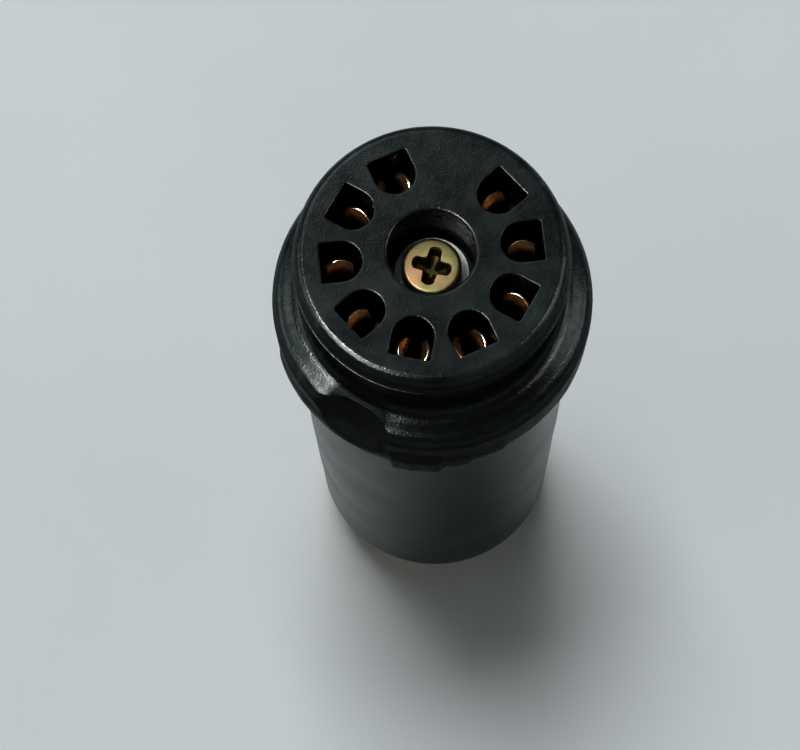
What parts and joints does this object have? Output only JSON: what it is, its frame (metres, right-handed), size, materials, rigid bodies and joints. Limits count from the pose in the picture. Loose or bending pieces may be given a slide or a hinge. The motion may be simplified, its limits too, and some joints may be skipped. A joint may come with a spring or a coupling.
{
  "type": "noval valve socket extender",
  "caption": "Round moulded socket head with sprung contacts and a flange notch, on a plain sleeve, wired straight through to a pinned plug base.",
  "frame": {"origin": "centre of the pin pattern, at the level of the plug pins' tips", "axes": "+Z along the extender towards the socket face; +Y towards the missing tenth pin position; +X completes the right hand"},
  "size_m": [0.0222, 0.0225, 0.063],
  "materials": {
    "black_moulding": "satin, moulded",
    "plug_moulding": "matt, moulded",
    "retainer_board": "matt paper laminate",
    "zinc_yellow": "yellow zinc plate, satin",
    "plain_steel": "plain",
    "brass": "turned",
    "sleeve_plastic": "satin",
    "contact_gold": "gold flash over bronze",
    "pin_gold": "gold flash",
    "wire_insulation": "smooth"
  },
  "bodies": {
    "housing": {"socket_body": "black_moulding", "contact_retainer": "retainer_board", "centre_screw": "zinc_yellow", "screw_washer": "plain_steel", "standoff": "brass", "sleeve": "sleeve_plastic", "plug_base": "plug_moulding", "plug_screw": "zinc_yellow", "contact_1": "contact_gold", "contact_2": "contact_gold", "contact_3": "contact_gold", "contact_4": "contact_gold", "contact_5": "contact_gold", "contact_6": "contact_gold", "contact_7": "contact_gold", "contact_8": "contact_gold", "contact_9": "contact_gold", "wire_1": "wire_insulation", "wire_2": "wire_insulation", "wire_3": "wire_insulation", "wire_4": "wire_insulation", "wire_5": "wire_insulation", "wire_6": "wire_insulation", "wire_7": "wire_insulation", "wire_8": "wire_insulation", "wire_9": "wire_insulation", "plug_pin_1": "pin_gold", "plug_pin_2": "pin_gold", "plug_pin_3": "pin_gold", "plug_pin_4": "pin_gold", "plug_pin_5": "pin_gold", "plug_pin_6": "pin_gold", "plug_pin_7": "pin_gold", "plug_pin_8": "pin_gold", "plug_pin_9": "pin_gold"},
    "leaf_1a": {"contact_leaf_1a": "contact_gold"},
    "leaf_1b": {"contact_leaf_1b": "contact_gold"},
    "leaf_2a": {"contact_leaf_2a": "contact_gold"},
    "leaf_2b": {"contact_leaf_2b": "contact_gold"},
    "leaf_3a": {"contact_leaf_3a": "contact_gold"},
    "leaf_3b": {"contact_leaf_3b": "contact_gold"},
    "leaf_4a": {"contact_leaf_4a": "contact_gold"},
    "leaf_4b": {"contact_leaf_4b": "contact_gold"},
    "leaf_5a": {"contact_leaf_5a": "contact_gold"},
    "leaf_5b": {"contact_leaf_5b": "contact_gold"},
    "leaf_6a": {"contact_leaf_6a": "contact_gold"},
    "leaf_6b": {"contact_leaf_6b": "contact_gold"},
    "leaf_7a": {"contact_leaf_7a": "contact_gold"},
    "leaf_7b": {"contact_leaf_7b": "contact_gold"},
    "leaf_8a": {"contact_leaf_8a": "contact_gold"},
    "leaf_8b": {"contact_leaf_8b": "contact_gold"},
    "leaf_9a": {"contact_leaf_9a": "contact_gold"},
    "leaf_9b": {"contact_leaf_9b": "contact_gold"}
  },
  "joints": [
    {"name": "leaf_1a_flex", "type": "hinge", "parent": "housing", "child": "leaf_1a", "pos_m": [-0.00408, 0.00438, 0.052], "axis": [0.5878, -0.809, 0], "range_deg": [0, 1.2], "stiffness_Nm_per_rad": 0.3},
    {"name": "leaf_1b_flex", "type": "hinge", "parent": "housing", "child": "leaf_1b", "pos_m": [-0.00291, 0.00524, 0.052], "axis": [-0.5878, 0.809, 0], "range_deg": [0, 1.2], "stiffness_Nm_per_rad": 0.3},
    {"name": "leaf_2a_flex", "type": "hinge", "parent": "housing", "child": "leaf_2a", "pos_m": [-0.00588, 0.00115, 0.052], "axis": [0.9511, -0.309, 0], "range_deg": [0, 1.2], "stiffness_Nm_per_rad": 0.3},
    {"name": "leaf_2b_flex", "type": "hinge", "parent": "housing", "child": "leaf_2b", "pos_m": [-0.00543, 0.00253, 0.052], "axis": [-0.9511, 0.309, 0], "range_deg": [0, 1.2], "stiffness_Nm_per_rad": 0.3},
    {"name": "leaf_3a_flex", "type": "hinge", "parent": "housing", "child": "leaf_3a", "pos_m": [-0.00543, -0.00253, 0.052], "axis": [0.9511, 0.309, 0], "range_deg": [0, 1.2], "stiffness_Nm_per_rad": 0.3},
    {"name": "leaf_3b_flex", "type": "hinge", "parent": "housing", "child": "leaf_3b", "pos_m": [-0.00588, -0.00115, 0.052], "axis": [-0.9511, -0.309, 0], "range_deg": [0, 1.2], "stiffness_Nm_per_rad": 0.3},
    {"name": "leaf_4a_flex", "type": "hinge", "parent": "housing", "child": "leaf_4a", "pos_m": [-0.00291, -0.00524, 0.052], "axis": [0.5878, 0.809, 0], "range_deg": [0, 1.2], "stiffness_Nm_per_rad": 0.3},
    {"name": "leaf_4b_flex", "type": "hinge", "parent": "housing", "child": "leaf_4b", "pos_m": [-0.00408, -0.00438, 0.052], "axis": [-0.5878, -0.809, 0], "range_deg": [0, 1.2], "stiffness_Nm_per_rad": 0.3},
    {"name": "leaf_5a_flex", "type": "hinge", "parent": "housing", "child": "leaf_5a", "pos_m": [0.00072, -0.00594, 0.052], "axis": [0, 1, 0], "range_deg": [0, 1.2], "stiffness_Nm_per_rad": 0.3},
    {"name": "leaf_5b_flex", "type": "hinge", "parent": "housing", "child": "leaf_5b", "pos_m": [-0.00072, -0.00594, 0.052], "axis": [0, -1, 0], "range_deg": [0, 1.2], "stiffness_Nm_per_rad": 0.3},
    {"name": "leaf_6a_flex", "type": "hinge", "parent": "housing", "child": "leaf_6a", "pos_m": [0.00408, -0.00438, 0.052], "axis": [-0.5878, 0.809, 0], "range_deg": [0, 1.2], "stiffness_Nm_per_rad": 0.3},
    {"name": "leaf_6b_flex", "type": "hinge", "parent": "housing", "child": "leaf_6b", "pos_m": [0.00291, -0.00524, 0.052], "axis": [0.5878, -0.809, 0], "range_deg": [0, 1.2], "stiffness_Nm_per_rad": 0.3},
    {"name": "leaf_7a_flex", "type": "hinge", "parent": "housing", "child": "leaf_7a", "pos_m": [0.00588, -0.00115, 0.052], "axis": [-0.9511, 0.309, 0], "range_deg": [0, 1.2], "stiffness_Nm_per_rad": 0.3},
    {"name": "leaf_7b_flex", "type": "hinge", "parent": "housing", "child": "leaf_7b", "pos_m": [0.00543, -0.00253, 0.052], "axis": [0.9511, -0.309, 0], "range_deg": [0, 1.2], "stiffness_Nm_per_rad": 0.3},
    {"name": "leaf_8a_flex", "type": "hinge", "parent": "housing", "child": "leaf_8a", "pos_m": [0.00543, 0.00253, 0.052], "axis": [-0.9511, -0.309, 0], "range_deg": [0, 1.2], "stiffness_Nm_per_rad": 0.3},
    {"name": "leaf_8b_flex", "type": "hinge", "parent": "housing", "child": "leaf_8b", "pos_m": [0.00588, 0.00115, 0.052], "axis": [0.9511, 0.309, 0], "range_deg": [0, 1.2], "stiffness_Nm_per_rad": 0.3},
    {"name": "leaf_9a_flex", "type": "hinge", "parent": "housing", "child": "leaf_9a", "pos_m": [0.00291, 0.00524, 0.052], "axis": [-0.5878, -0.809, 0], "range_deg": [0, 1.2], "stiffness_Nm_per_rad": 0.3},
    {"name": "leaf_9b_flex", "type": "hinge", "parent": "housing", "child": "leaf_9b", "pos_m": [0.00408, 0.00438, 0.052], "axis": [0.5878, 0.809, 0], "range_deg": [0, 1.2], "stiffness_Nm_per_rad": 0.3}
  ]
}
